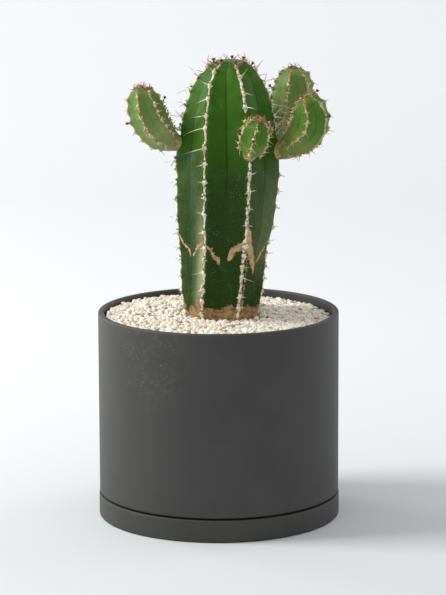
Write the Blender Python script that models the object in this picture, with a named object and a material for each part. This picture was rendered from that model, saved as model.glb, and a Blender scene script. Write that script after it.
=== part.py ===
"""A potted euphorbia: ribbed column and four branches in a ceramic pot on its saucer.

Everything is in metres, +Z up. The origin is the middle of the saucer's underside, and the
front of the plant faces -Y. Compass angles are measured from the front, positive to the right.
"""

import math

import bmesh
import bpy
from mathutils import Vector

# --- Driving dimensions -------------------------------------------------------------------

POT_RADIUS = 0.100
POT_WALL = 0.005
POT_HEIGHT = 0.1727          # rim above the surface that the saucer stands on
SAUCER_HEIGHT = 0.0188
SAUCER_RADIUS = POT_RADIUS + 0.0005
SAUCER_WALL = 0.005
SAUCER_FLOOR = 0.004
SEAM = 0.0012                # open line between the saucer's edge and the pot's shoulder
GAP = 0.0003                 # clearance between pieces that touch
ROUND = 0.0018               # rounding of the ceramic edges
FOOT_CLEARANCE = 0.0012      # between the pot's recessed foot and the saucer's wall
DRAIN_RADIUS = 0.009
ROUND_SIDES = 64             # facets of the turned pieces

SOIL_TOP = 0.150
GRIT_EDGE = 0.1680           # height of the grit where it meets the pot
GRIT_RISE = 0.0022           # how much higher it stands around the stem
BURIED_BASE = 0.122          # lower end of the plant's buried foot

RIB_COUNT = 7
FIRST_RIB = -28.0            # compass angle of the first rib
VALLEY = 0.77                # radius of the valleys, as a share of the crests' radius
FLANK_BULGE = 0.07           # how far a rib's side swells, as a share of its width

BRANCH_RIBS = 6
BRANCH_VALLEY = 0.80

# Crest radius and height of the column from its buried foot to its crown.
STEM_OUTLINE = [
    (0.0200, BURIED_BASE),
    (0.0300, 0.130),
    (0.0322, 0.150),
    (0.0322, 0.172),
    (0.0350, 0.192),
    (0.0372, 0.225),
    (0.0418, 0.254),
    (0.0443, 0.282),
    (0.0446, 0.306),
    (0.0393, 0.3335),
    (0.0355, 0.350),
    (0.0300, 0.363),
    (0.0215, 0.374),
    (0.0100, 0.3810),
]
STEM_TOP = 0.3826
# Sideways lean of the column: height and offset of its middle line from the pot's.
STEM_LEAN = [(0.190, 0.0033), (0.285, 0.0088), (STEM_TOP, 0.0104)]

# --- Helpers ------------------------------------------------------------------------------


def clear_scene():
    for item in list(bpy.data.objects):
        bpy.data.objects.remove(item, do_unlink=True)


def material(name, colour, roughness, metallic=0.0):
    """Principled material with one colour."""
    made = bpy.data.materials.new(name)
    made.use_nodes = True
    shader = made.node_tree.nodes["Principled BSDF"]
    shader.inputs["Base Color"].default_value = (*colour, 1.0)
    shader.inputs["Roughness"].default_value = roughness
    shader.inputs["Metallic"].default_value = metallic
    return made


def compass(angle):
    """Unit vector in the floor plane for an angle from the front, positive to the right."""
    turn = math.radians(angle)
    return Vector((math.sin(turn), -math.cos(turn), 0.0))


def add_object(name, mesh_data, look, smooth_angle=None):
    """Turn a bmesh into a named object with one material."""
    if mesh_data.calc_volume(signed=True) < 0:
        bmesh.ops.reverse_faces(mesh_data, faces=mesh_data.faces[:])
    mesh = bpy.data.meshes.new(name)
    mesh_data.to_mesh(mesh)
    mesh_data.free()
    mesh.materials.append(look)
    if smooth_angle is not None:
        mesh.shade_smooth()
        mesh.set_sharp_from_angle(angle=math.radians(smooth_angle))
    made = bpy.data.objects.new(name, mesh)
    bpy.context.scene.collection.objects.link(made)
    return made


def loft(rings, endless=False):
    """Skin a list of closed rings with equal numbers of points.

    An endless loft joins its last ring to its first, as a tyre does. Any other one is
    closed by a flat face at each end.
    """
    skin = bmesh.new()
    rows = [[skin.verts.new(point) for point in ring] for ring in rings]
    pairs = list(zip(rows, rows[1:]))
    if endless:
        pairs.append((rows[-1], rows[0]))
    else:
        skin.faces.new(list(reversed(rows[0])))
        skin.faces.new(rows[-1])
    for lower, upper in pairs:
        for here in range(len(lower)):
            beyond = (here + 1) % len(lower)
            skin.faces.new((lower[here], lower[beyond], upper[beyond], upper[here]))
    return skin


def circle(radius, height, sides=ROUND_SIDES):
    step = 2 * math.pi / sides
    return [
        Vector((radius * math.cos(step * i), radius * math.sin(step * i), height))
        for i in range(sides)
    ]


def rounded_corner(radius, height, size, start, sweep=90, steps=3):
    """Arc in the (radius, height) plane about a centre, from one direction through a sweep."""
    arc = []
    for i in range(steps + 1):
        turn = math.radians(start + sweep * i / steps)
        arc.append((radius + size * math.cos(turn), height + size * math.sin(turn)))
    return arc


def catmull(points, steps):
    """Smooth curve through points of any dimension, with equal steps between each pair."""
    padded = [points[0], *points, points[-1]]
    curve = []
    for i in range(1, len(padded) - 2):
        before, start, end, after = padded[i - 1:i + 3]
        for step in range(steps):
            t = step / steps
            curve.append(tuple(
                0.5 * (2 * b + (c - a) * t + (2 * a - 5 * b + 4 * c - d) * t * t
                       + (3 * b - a - 3 * c + d) * t ** 3)
                for a, b, c, d in zip(before, start, end, after)
            ))
    curve.append(tuple(points[-1]))
    return curve


def interpolate(table, value):
    """Straight-line reading of a (position, amount) list, held constant past its ends."""
    if value <= table[0][0]:
        return table[0][1]
    for (low, first), (high, second) in zip(table, table[1:]):
        if value <= high:
            return first + (second - first) * (value - low) / (high - low)
    return table[-1][1]


def rib_section(share, rib_count, valley):
    """One point of a ribbed cross-section of crest radius 1.

    share runs from 0 at a crest through 0.5 in the valley to 1 at the next crest. The result
    is (radius, angle in degrees past the crest).
    """
    half_step = math.pi / rib_count
    side = min(share, 1 - share) * 2
    crest = Vector((1.0, 0.0))
    bottom = Vector((valley * math.cos(half_step), valley * math.sin(half_step)))
    flank = bottom - crest
    outward = Vector((-flank.y, flank.x)) * -1
    place = crest + flank * side + outward * FLANK_BULGE * 4 * side * (1 - side)
    angle = math.degrees(math.atan2(place.y, place.x))
    if share > 0.5:
        angle = 360 / rib_count - angle
    return place.length, angle


# --- Pot and saucer -----------------------------------------------------------------------


def saucer_outline():
    """Half-section of the saucer from the middle of its underside to the middle of its floor."""
    inside = SAUCER_RADIUS - SAUCER_WALL
    small = ROUND * 0.6
    outline = [(SAUCER_RADIUS * 0.5, 0.0)]
    outline += rounded_corner(SAUCER_RADIUS - ROUND, ROUND, ROUND, -90)
    outline += rounded_corner(SAUCER_RADIUS - small, SAUCER_HEIGHT - small, small, 0)
    outline += rounded_corner(inside + small, SAUCER_HEIGHT - small, small, 90)
    outline += [(inside, SAUCER_FLOOR + ROUND), (inside - ROUND, SAUCER_FLOOR)]
    return outline


def pot_outline():
    """Half-section of the pot: foot, shoulder, wall, rim, inside wall, floor, drain hole."""
    foot_radius = SAUCER_RADIUS - SAUCER_WALL - FOOT_CLEARANCE
    foot_base = SAUCER_FLOOR + GAP
    shoulder = SAUCER_HEIGHT + SEAM
    inside = POT_RADIUS - POT_WALL
    floor_top = foot_base + POT_WALL
    lip = POT_WALL / 2
    outline = [(DRAIN_RADIUS, foot_base), (foot_radius - ROUND, foot_base)]
    outline += [(foot_radius, foot_base + ROUND), (foot_radius, shoulder)]
    outline += rounded_corner(POT_RADIUS - ROUND, shoulder + ROUND, ROUND, -90)
    outline += rounded_corner(POT_RADIUS - lip, POT_HEIGHT - lip, lip, 0, 180, 6)
    outline += [(inside, shoulder + POT_WALL), (foot_radius - POT_WALL, shoulder - POT_WALL)]
    outline += [(foot_radius - POT_WALL, floor_top + ROUND)]
    outline += [(foot_radius - POT_WALL - ROUND, floor_top), (DRAIN_RADIUS, floor_top)]
    return outline


def make_saucer(look):
    rings = [circle(radius, height) for radius, height in saucer_outline()]
    return add_object("saucer", loft(rings), look, 40)


def make_pot(look):
    rings = [circle(radius, height) for radius, height in pot_outline()]
    return add_object("pot", loft(rings, endless=True), look, 40)


# --- Column -------------------------------------------------------------------------------

POINTS_PER_RIB = 6
BURIED_FOLD = 0.4            # the valleys are shallower on the foot below the grit


def stem_middle(height):
    return Vector((interpolate(STEM_LEAN, height), 0.0, height))


def rib_heading(rib):
    return FIRST_RIB + rib * 360 / RIB_COUNT


def stem_crest(rib, height):
    """Point on a rib's crest at a height below the crown."""
    by_height = [(level, radius) for radius, level in STEM_OUTLINE]
    return stem_middle(height) + compass(rib_heading(rib)) * interpolate(by_height, height)


def stem_ring(radius, height, spread=0.0, fold=1.0):
    """Cross-section of the column; spread moves it outwards, fold scales its valleys' depth."""
    middle = stem_middle(height)
    ring = []
    for rib in range(RIB_COUNT):
        for point in range(POINTS_PER_RIB):
            share = point / POINTS_PER_RIB
            reach, angle = rib_section(share, RIB_COUNT, 1 - (1 - VALLEY) * fold)
            outward = compass(rib_heading(rib) + angle)
            ring.append(middle + outward * (radius * reach + spread))
    return ring


def stem_curve(steps=2):
    return catmull(STEM_OUTLINE, steps)


def make_main_stem(look):
    rings = []
    for radius, height in stem_curve():
        fold = BURIED_FOLD if height < SOIL_TOP else 1.0
        rings.append(stem_ring(radius, height, fold=fold))
    rings.append(stem_ring(0.003, STEM_TOP, fold=0.2))
    return add_object("main_stem", loft(rings), look, 50)


# --- Soil and grit ------------------------------------------------------------------------


def bed_ring(radius, height):
    """Ring about the pot's axis whose points face the same way as those of the column."""
    axis = Vector((0.0, 0.0, height))
    return [
        axis + (point - stem_middle(height)).normalized() * radius
        for point in stem_ring(1.0, height)
    ]


def make_soil(look):
    """Potting mix that fills the pot up to the grit, with the hollow where the foot sits."""
    foot_radius = SAUCER_RADIUS - SAUCER_WALL - FOOT_CLEARANCE - POT_WALL
    floor = SAUCER_FLOOR + GAP + POT_WALL
    shoulder = SAUCER_HEIGHT + SEAM
    clear = 0.0008
    widest = max(radius for radius, height in STEM_OUTLINE if height <= SOIL_TOP)
    rings = [
        bed_ring(foot_radius - ROUND - clear, floor + GAP),
        bed_ring(foot_radius - clear, floor + ROUND + clear),
        bed_ring(foot_radius - clear, shoulder - POT_WALL),
        bed_ring(POT_RADIUS - POT_WALL - clear, shoulder + POT_WALL + clear),
        bed_ring(POT_RADIUS - POT_WALL - clear, SOIL_TOP - GAP),
        stem_ring(widest, SOIL_TOP - GAP, spread=clear, fold=BURIED_FOLD),
        stem_ring(widest, BURIED_BASE + 0.006, spread=clear, fold=BURIED_FOLD),
        stem_ring(STEM_OUTLINE[0][0], BURIED_BASE - clear, spread=clear, fold=BURIED_FOLD),
    ]
    return add_object("soil", loft(rings), look)


def grit_height(share, point):
    """Height of the grit from the stem (share 0) to the pot (share 1), with a slight swell."""
    swell = 0.0007 * math.sin(point * 1.7) * math.sin(math.pi * share)
    return GRIT_EDGE + GRIT_RISE * (1 - share) ** 1.5 + swell


def make_grit(look):
    """Top dressing of loose grit, as one bed that closes around the stem."""
    clear = 0.0005
    wall = POT_RADIUS - POT_WALL - clear
    widest = max(radius for radius, height in STEM_OUTLINE if height <= GRIT_EDGE + GRIT_RISE)
    inner = stem_ring(widest, SOIL_TOP, spread=clear)
    outer = bed_ring(wall, SOIL_TOP)
    rings = [inner, outer]
    shares = [1.0, 0.75, 0.5, 0.25, 0.0]
    for share in shares:
        ring = []
        for point, (near, far) in enumerate(zip(inner, outer)):
            place = near.lerp(far, share)
            ring.append(Vector((place.x, place.y, grit_height(share, point))))
        rings.append(ring)
    return add_object("gravel", loft(rings, endless=True), look)


# --- Branches -----------------------------------------------------------------------------

NECK_STANDOFF = 0.0052      # clear distance from the rib to the middle of a neck's flat base

# Each branch: the rib it grows from and the height of its neck on it, its apex, its greatest
# crest radius, how far its middle line bows aside, and the turn of its first rib.
BRANCHES = {
    "branch_left": {
        "rib": 6,
        "height": 0.3143,
        "apex": Vector((-0.0624, -0.0170, 0.3627)),
        "radius": 0.0157,
        "bow": Vector((-0.0049, -0.0010, -0.0075)),
        "turn": 10,
    },
    "branch_front": {
        "rib": 1,
        "height": 0.3110,
        "apex": Vector((0.0333, -0.0660, 0.3417)),
        "radius": 0.0132,
        "bow": Vector((0.0000, -0.0040, -0.0011)),
        "turn": 25,
    },
    "branch_right_front": {
        "rib": 2,
        "height": 0.3090,
        "apex": Vector((0.0700, -0.0270, 0.3545)),
        "radius": 0.0175,
        "bow": Vector((0.0124, -0.0020, -0.0039)),
        "turn": 20,
    },
    "branch_right_rear": {
        "rib": 3,
        "height": 0.3095,
        "apex": Vector((0.0621, 0.0410, 0.3706)),
        "radius": 0.0193,
        "bow": Vector((0.0062, 0.0060, -0.0050)),
        "turn": 15,
    },
}
# Crest radius of a branch as a share of its greatest, against the share of its length.
BRANCH_OUTLINE = [
    (0.00, 0.38),
    (0.07, 0.50),
    (0.18, 0.74),
    (0.34, 0.92),
    (0.55, 1.00),
    (0.72, 0.97),
    (0.86, 0.82),
    (0.95, 0.52),
    (1.00, 0.12),
]
BRANCH_POINTS_PER_RIB = 4


def branch_middle(branch, share):
    """Point on a branch's middle line: a straight run, bowed sideways between its ends."""
    outward = compass(rib_heading(branch["rib"]))
    base = stem_crest(branch["rib"], branch["height"]) + outward * NECK_STANDOFF
    straight = base.lerp(branch["apex"], share)
    return straight + branch["bow"] * 4 * share * (1 - share)


def branch_frame(branch, share):
    """Middle point, direction, and two square directions of a branch at a share of its length."""
    step = 0.01
    ahead = branch_middle(branch, min(share + step, 1.0))
    behind = branch_middle(branch, max(share - step, 0.0))
    along = (ahead - behind).normalized()
    across = Vector((0.0, 1.0, 0.0)).cross(along).normalized()
    front = along.cross(across)
    return branch_middle(branch, share), along, across, front


def branch_crest(branch, share, radius, angle):
    """Point at a radius and angle around a branch's middle line."""
    middle, _, across, front = branch_frame(branch, share)
    turn = math.radians(angle)
    return middle + (across * math.cos(turn) + front * math.sin(turn)) * radius


def branch_ring(branch, share, width, fold):
    ring = []
    for rib in range(BRANCH_RIBS):
        for point in range(BRANCH_POINTS_PER_RIB):
            part = point / BRANCH_POINTS_PER_RIB
            reach, angle = rib_section(part, BRANCH_RIBS, 1 - (1 - BRANCH_VALLEY) * fold)
            heading = branch["turn"] + rib * 360 / BRANCH_RIBS + angle
            radius = branch["radius"] * width * reach
            ring.append(branch_crest(branch, share, radius, heading))
    return ring


def make_branch(name, look):
    branch = BRANCHES[name]
    rings = []
    for share, width in BRANCH_OUTLINE:
        fold = 0.2 if share < 0.1 else 1.0
        rings.append(branch_ring(branch, share, width, fold))
    return add_object(name, loft(rings), look, 50)


# --- Horny margins and spines -------------------------------------------------------------

MARGIN_WIDTH = 0.0022
MARGIN_THICKNESS = 0.0010
MARGIN_LIFT = 0.0006         # clearance to the rib under it
SHIELD_LENGTH = 0.0034       # length of the wide part that carries a spine pair
STEM_SPINE = 0.0095
BRANCH_SPINE = 0.0045
SPINE_CROWDING = 0.30        # a spine's length is at most this share of the rib's radius
STEM_SPACING = 0.0132        # between spine pairs
BRANCH_SPACING = 0.0080
MARGIN_FOOT = 0.174          # where the stem's margins come out of the grit
CROWN_RADIUS = 0.014         # the margins end here, around the growing point
BELOW_NECK = 0.009           # how far a margin stops short of a branch's neck
ABOVE_NECK = {"branch_left": 0.028, "branch_front": 0.041,
              "branch_right_front": 0.028, "branch_right_rear": 0.033}


def stops_along(curve, spacing):
    """Even stops along a dense line of points: (point, direction) from its first to its last."""
    lengths = [0.0]
    for here, beyond in zip(curve, curve[1:]):
        lengths.append(lengths[-1] + (beyond - here).length)
    count = max(1, round(lengths[-1] / spacing))
    stops = []
    leg = 0
    for stop in range(count + 1):
        target = lengths[-1] * stop / count
        while leg < len(curve) - 2 and lengths[leg + 1] < target:
            leg += 1
        way = curve[leg + 1] - curve[leg]
        part = (target - lengths[leg]) / (lengths[leg + 1] - lengths[leg])
        stops.append((curve[leg] + way * part, way.normalized()))
    return stops


def margin(name, stops, middle_line, spine_length, look):
    """Strip along a rib with a spine pair at each stop.

    middle_line gives the point of the stem's or branch's middle that a stop faces away from.
    """
    rings = []
    pairs = []
    for point, along in stops:
        away = point - middle_line(point)
        outward = (away - along * away.dot(along)).normalized()
        aside = outward.cross(along)
        half = aside * MARGIN_WIDTH / 2
        thick = outward * MARGIN_THICKNESS
        for end in (-0.5, 0.5):
            foot = point + outward * MARGIN_LIFT + along * SHIELD_LENGTH * end
            rings.append([foot - half, foot + half, foot + half + thick, foot - half + thick])
        reach = min(spine_length, away.length * SPINE_CROWDING)
        top = point + outward * (MARGIN_LIFT + MARGIN_THICKNESS + reach * 0.4)
        droop = along * reach * -0.2
        spread = aside * reach * 0.9
        pairs.append((top + droop + spread, top + droop - spread))
    strip = loft(rings)
    faces = list(strip.faces)
    ends = 2
    sides = 4
    for stop, (right_tip, left_tip) in enumerate(pairs):
        first = ends + stop * 2 * sides
        for face, tip in ((faces[first + 1], right_tip), (faces[first + 3], left_tip)):
            made = bmesh.ops.poke(strip, faces=[face])
            made["verts"][0].co = tip
    return add_object(name, strip, look)


def make_stem_margins(look):
    """One strip for each rib, in two lengths where a branch grows through it."""
    dense = catmull(STEM_OUTLINE, 12)
    necks = {branch["rib"]: (name, branch["height"]) for name, branch in BRANCHES.items()}
    for rib in range(RIB_COUNT):
        spans = [("", MARGIN_FOOT, STEM_TOP)]
        if rib in necks:
            name, neck = necks[rib]
            spans = [
                ("_lower", MARGIN_FOOT, neck - BELOW_NECK),
                ("_upper", neck + ABOVE_NECK[name], STEM_TOP),
            ]
        for part, low, high in spans:
            curve = [
                stem_middle(height) + compass(rib_heading(rib)) * radius
                for radius, height in dense
                if low <= height <= high and radius >= CROWN_RADIUS
            ]
            margin(
                f"spines_stem_{rib + 1}{part}",
                stops_along(curve, STEM_SPACING),
                lambda point: stem_middle(point.z - 0.010),
                STEM_SPINE,
                look,
            )


def make_branch_margins(look):
    for name, branch in BRANCHES.items():
        for rib in range(BRANCH_RIBS):
            heading = branch["turn"] + rib * 360 / BRANCH_RIBS
            curve = []
            for share, width in catmull(BRANCH_OUTLINE, 6):
                if 0.14 < share < 0.97:
                    curve.append(branch_crest(branch, share, branch["radius"] * width, heading))
            centre = branch_middle(branch, 0.5)
            margin(
                f"spines_{name}_{rib + 1}",
                stops_along(curve, BRANCH_SPACING),
                lambda point, centre=centre: centre,
                BRANCH_SPINE,
                look,
            )


# --- Assembly -----------------------------------------------------------------------------


def main():
    clear_scene()
    ceramic = material("dark matte ceramic", (0.062, 0.062, 0.064), 0.62)
    saucer_ceramic = material("saucer ceramic", (0.058, 0.058, 0.060), 0.62)
    mix = material("potting mix", (0.060, 0.040, 0.026), 0.95)
    grit = material("pale grit", (0.76, 0.69, 0.56), 0.85)
    stem_green = material("stem green", (0.060, 0.170, 0.030), 0.45)
    branch_green = material("branch green", (0.110, 0.260, 0.060), 0.45)
    horn = material("horny spines", (0.72, 0.66, 0.48), 0.55)
    make_saucer(saucer_ceramic)
    make_pot(ceramic)
    make_soil(mix)
    make_grit(grit)
    make_main_stem(stem_green)
    for name in BRANCHES:
        make_branch(name, branch_green)
    make_stem_margins(horn)
    make_branch_margins(horn)


main()
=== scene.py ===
import math

import bmesh
import bpy
import numpy as np
from mathutils import Matrix, Vector


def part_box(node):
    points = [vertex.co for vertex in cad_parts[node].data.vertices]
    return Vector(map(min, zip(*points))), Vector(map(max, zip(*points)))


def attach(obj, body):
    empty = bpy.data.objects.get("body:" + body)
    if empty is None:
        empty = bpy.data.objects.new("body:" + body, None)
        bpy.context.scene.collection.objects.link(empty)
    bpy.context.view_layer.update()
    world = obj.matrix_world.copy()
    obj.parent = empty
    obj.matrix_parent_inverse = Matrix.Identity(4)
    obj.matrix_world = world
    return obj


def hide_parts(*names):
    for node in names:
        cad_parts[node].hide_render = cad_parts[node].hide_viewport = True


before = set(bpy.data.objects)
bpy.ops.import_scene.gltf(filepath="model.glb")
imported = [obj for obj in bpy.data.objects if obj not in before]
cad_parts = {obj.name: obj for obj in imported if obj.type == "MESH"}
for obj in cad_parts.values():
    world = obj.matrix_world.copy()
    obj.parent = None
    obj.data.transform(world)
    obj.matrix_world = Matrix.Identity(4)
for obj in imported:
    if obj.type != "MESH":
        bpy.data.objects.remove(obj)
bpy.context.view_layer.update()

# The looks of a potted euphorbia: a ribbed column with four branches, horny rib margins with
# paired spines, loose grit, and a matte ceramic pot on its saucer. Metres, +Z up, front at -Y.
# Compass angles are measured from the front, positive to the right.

MM = 0.001
BODY = "root"

# --- Small helpers ------------------------------------------------------------------------


def unit(vectors):
    """Vectors of length 1, for one vector or an array of them."""
    return vectors / np.maximum(np.linalg.norm(vectors, axis=-1, keepdims=True), 1e-12)


def compass(angle):
    """Direction in the floor plane for an angle, or an array of angles, from the front."""
    turn = np.radians(angle)
    return np.stack([np.sin(turn), -np.cos(turn), np.zeros_like(turn)], -1)


def read_table(table, value):
    """Straight-line reading of a list of (position, amount) pairs."""
    positions, amounts = zip(*table)
    return np.interp(value, positions, amounts)


def smooth_step(low, high, value):
    t = np.clip((value - low) / (high - low), 0.0, 1.0)
    return t * t * (3 - 2 * t)


def catmull(points, steps=24):
    """Dense smooth curve through points of any dimension."""
    points = np.array(points, float)
    padded = np.vstack([points[:1], points, points[-1:]])
    t = (np.arange(steps) / steps)[:, None]
    runs = []
    for a, b, c, d in zip(padded, padded[1:], padded[2:], padded[3:]):
        runs.append(0.5 * (2 * b + (c - a) * t + (2 * a - 5 * b + 4 * c - d) * t ** 2
                           + (3 * b - a - 3 * c + d) * t ** 3))
    return np.vstack(runs + [points[-1:]])


def lengths_along(curve):
    steps = np.linalg.norm(np.diff(curve, axis=0), axis=1)
    return np.concatenate([[0.0], np.cumsum(steps)])


def evenly(curve, step):
    """The same curve with points about one step apart."""
    run = lengths_along(curve)
    count = max(2, int(round(run[-1] / step)) + 1)
    stops = np.linspace(0.0, run[-1], count)
    return np.stack([np.interp(stops, run, column) for column in curve.T], 1)


def ripple(points, size, seed, waves=20):
    """Smooth random field of about -1 to 1, with bumps about one size across."""
    draw = np.random.default_rng(seed)
    heading = unit(draw.normal(size=(waves, 3)))
    pitch = 2 * math.pi / (size * draw.uniform(0.8, 2.0, waves))
    phase = draw.uniform(0.0, 2 * math.pi, waves)
    flat = points.reshape(-1, 3)
    field = np.cos(flat @ (heading * pitch[:, None]).T + phase).sum(-1)
    return (field * math.sqrt(2 / waves) / 1.6).reshape(points.shape[:-1])


# --- Mesh making --------------------------------------------------------------------------


def add_piece(name, points, faces, corner_uv=None, smooth=True, fields=None):
    """A mesh object from points and faces, with named per-point values for its material."""
    mesh = bpy.data.meshes.new(name)
    mesh.from_pydata(points.reshape(-1, 3), [], faces)
    if corner_uv is not None:
        layer = mesh.uv_layers.new(name="OFBake")
        layer.data.foreach_set("uv", np.asarray(corner_uv, np.float32).ravel())
    for field, values in (fields or {}).items():
        made = mesh.attributes.new(field, "FLOAT", "POINT")
        made.data.foreach_set("value", np.asarray(values, np.float32).ravel())
    if smooth:
        mesh.shade_smooth()
    mesh.update()
    made = bpy.data.objects.new(name, mesh)
    bpy.context.scene.collection.objects.link(made)
    return made


def signed_volume(points, quads):
    a, b, c, d = (points[quads[:, i]] for i in range(4))
    return float((np.cross(a, b) * c).sum() + (np.cross(a, c) * d).sum())


def skin(name, rings, endless=False, fields=None):
    """Closed mesh over rings of points (rows, columns, 3), unrolled into a square UV map."""
    rows, columns = rings.shape[:2]
    points = rings.reshape(-1, 3)
    index = np.arange(rows * columns).reshape(rows, columns)
    if endless:
        lower, upper = index, np.roll(index, -1, axis=0)
    else:
        lower, upper = index[:-1], index[1:]
    bands = len(lower)
    after_lower = np.roll(lower, -1, axis=1)
    after_upper = np.roll(upper, -1, axis=1)
    quads = np.stack([lower, after_lower, after_upper, upper], -1).reshape(-1, 4)
    column = np.tile(np.arange(columns), bands)
    row = np.repeat(np.arange(bands), columns)
    left, right = column / columns, (column + 1) / columns
    low, high = 0.01 + 0.98 * row / bands, 0.01 + 0.98 * (row + 1) / bands
    uv = np.stack([left, low, right, low, right, high, left, high], 1).reshape(-1, 4, 2)
    if signed_volume(points, quads) < 0:
        quads = quads[:, ::-1]
        uv = uv[:, ::-1]
        flipped = True
    else:
        flipped = False
    faces = quads.tolist()
    corner_uv = uv.reshape(-1, 2).tolist()
    if not endless:
        around = np.arange(columns) / columns
        for cap, level in ((index[0][::-1], 0.005), (index[-1], 0.995)):
            turned = cap[::-1] if flipped else cap
            faces.append(turned.tolist())
            corner_uv += [(float(u), level) for u in around]
    return add_piece(name, points, faces, corner_uv, fields=fields)


def facing_out(points, faces):
    """Faces of a tube, turned over if they face inwards."""
    quads = np.array([face for face in faces if len(face) == 4])
    if signed_volume(points - points.mean(0), quads) < 0:
        return [face[::-1] for face in faces]
    return faces


def joined(parts):
    """Several (points, faces, fields) bundles as one, faces renumbered and facing out."""
    points, faces, fields = [], [], {}
    start = 0
    for some_points, some_faces, some_fields in parts:
        some_faces = facing_out(some_points, some_faces)
        points.append(some_points)
        faces += [[start + i for i in face] for face in some_faces]
        for field, values in some_fields.items():
            fields.setdefault(field, []).append(values)
        start += len(some_points)
    merged = {field: np.concatenate(values) for field, values in fields.items()}
    return np.vstack(points), faces, merged


def tube_faces(rows, columns):
    """Quads and end caps of rings laid one after another."""
    faces = []
    for row in range(rows - 1):
        for column in range(columns):
            beyond = (column + 1) % columns
            a, b = row * columns + column, row * columns + beyond
            faces.append([a, b, b + columns, a + columns])
    faces.append(list(range(columns))[::-1])
    faces.append([(rows - 1) * columns + i for i in range(columns)])
    return faces


# --- Material making ----------------------------------------------------------------------


def srgb(red, green, blue):
    """Linear colour from 0 to 255 display values."""
    linear = []
    for value in (red, green, blue):
        share = value / 255
        linear.append(share / 12.92 if share <= 0.04045 else ((share + 0.055) / 1.055) ** 2.4)
    return (*linear, 1.0)


class Recipe:
    """A material's node graph, written as nested calls."""

    def __init__(self, name, roughness, specular=0.5):
        self.material = bpy.data.materials.new(name)
        self.material.use_nodes = True
        self.tree = self.material.node_tree
        self.shader = self.tree.nodes["Principled BSDF"]
        self.shader.inputs["Roughness"].default_value = roughness
        self.shader.inputs["Specular IOR Level"].default_value = specular
        self.place = self.node("ShaderNodeTexCoord").outputs["Object"]

    def node(self, kind, **settings):
        made = self.tree.nodes.new(kind)
        for key, value in settings.items():
            setattr(made, key, value)
        return made

    def feed(self, socket, value):
        if hasattr(value, "links"):
            self.tree.links.new(value, socket)
        else:
            socket.default_value = value

    def field(self, name):
        """A mesh's named per-point value."""
        return self.node("ShaderNodeAttribute", attribute_name=name).outputs["Fac"]

    def noise(self, size, detail=3.0, rough=0.55, stretch=None):
        """Cloudy pattern of 0 to 1 with clouds about one size across."""
        made = self.node("ShaderNodeTexNoise")
        made.inputs["Scale"].default_value = 1 / size
        made.inputs["Detail"].default_value = detail
        made.inputs["Roughness"].default_value = rough
        place = self.place
        if stretch is not None:
            mapping = self.node("ShaderNodeMapping")
            self.feed(mapping.inputs["Vector"], place)
            mapping.inputs["Scale"].default_value = stretch
            place = mapping.outputs["Vector"]
        self.feed(made.inputs["Vector"], place)
        return made.outputs["Fac"]

    def dots(self, size):
        """Distance to the nearest of many scattered points, 0 at a point."""
        made = self.node("ShaderNodeTexVoronoi")
        made.inputs["Scale"].default_value = 1 / size
        self.feed(made.inputs["Vector"], self.place)
        return made.outputs["Distance"]

    def near(self, point, close, far):
        """1 closer to a point than one distance, 0 beyond another."""
        made = self.node("ShaderNodeVectorMath", operation="DISTANCE")
        self.feed(made.inputs[0], self.place)
        made.inputs[1].default_value = point
        return self.between(made.outputs["Value"], far, close)

    def sum(self, first, second):
        return self.sums("ADD", first, second)

    def times(self, first, second):
        return self.sums("MULTIPLY", first, second)

    def sums(self, operation, first, second):
        made = self.node("ShaderNodeMath", operation=operation)
        self.feed(made.inputs[0], first)
        self.feed(made.inputs[1], second)
        return made.outputs[0]

    def between(self, value, low, high):
        """0 where value is below low, 1 above high, smooth in between. High may be the lower."""
        made = self.node("ShaderNodeMapRange", interpolation_type="SMOOTHSTEP")
        self.feed(made.inputs["Value"], value)
        made.inputs["From Min"].default_value = min(low, high)
        made.inputs["From Max"].default_value = max(low, high)
        made.inputs["To Min"].default_value = 0.0 if high > low else 1.0
        made.inputs["To Max"].default_value = 1.0 if high > low else 0.0
        return made.outputs["Result"]

    def mix(self, share, first, second):
        made = self.node("ShaderNodeMix", data_type="RGBA", clamp_factor=True)
        self.feed(made.inputs["Factor"], share)
        colours = [socket for socket in made.inputs if socket.type == "RGBA"]
        self.feed(colours[0], first)
        self.feed(colours[1], second)
        return [socket for socket in made.outputs if socket.type == "RGBA"][0]

    def colour(self, value):
        self.feed(self.shader.inputs["Base Color"], value)

    def roughness(self, value):
        self.feed(self.shader.inputs["Roughness"], value)

    def bump(self, height, distance, strength=1.0):
        made = self.node("ShaderNodeBump")
        made.inputs["Strength"].default_value = strength
        made.inputs["Distance"].default_value = distance
        self.feed(made.inputs["Height"], height)
        self.feed(self.shader.inputs["Normal"], made.outputs["Normal"])


def dress(piece, look):
    """Give a piece its material, in its one material slot, on the plant's one body."""
    piece.data.materials.clear()
    piece.data.materials.append(look)
    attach(piece, BODY)


# --- Materials ----------------------------------------------------------------------------


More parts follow.
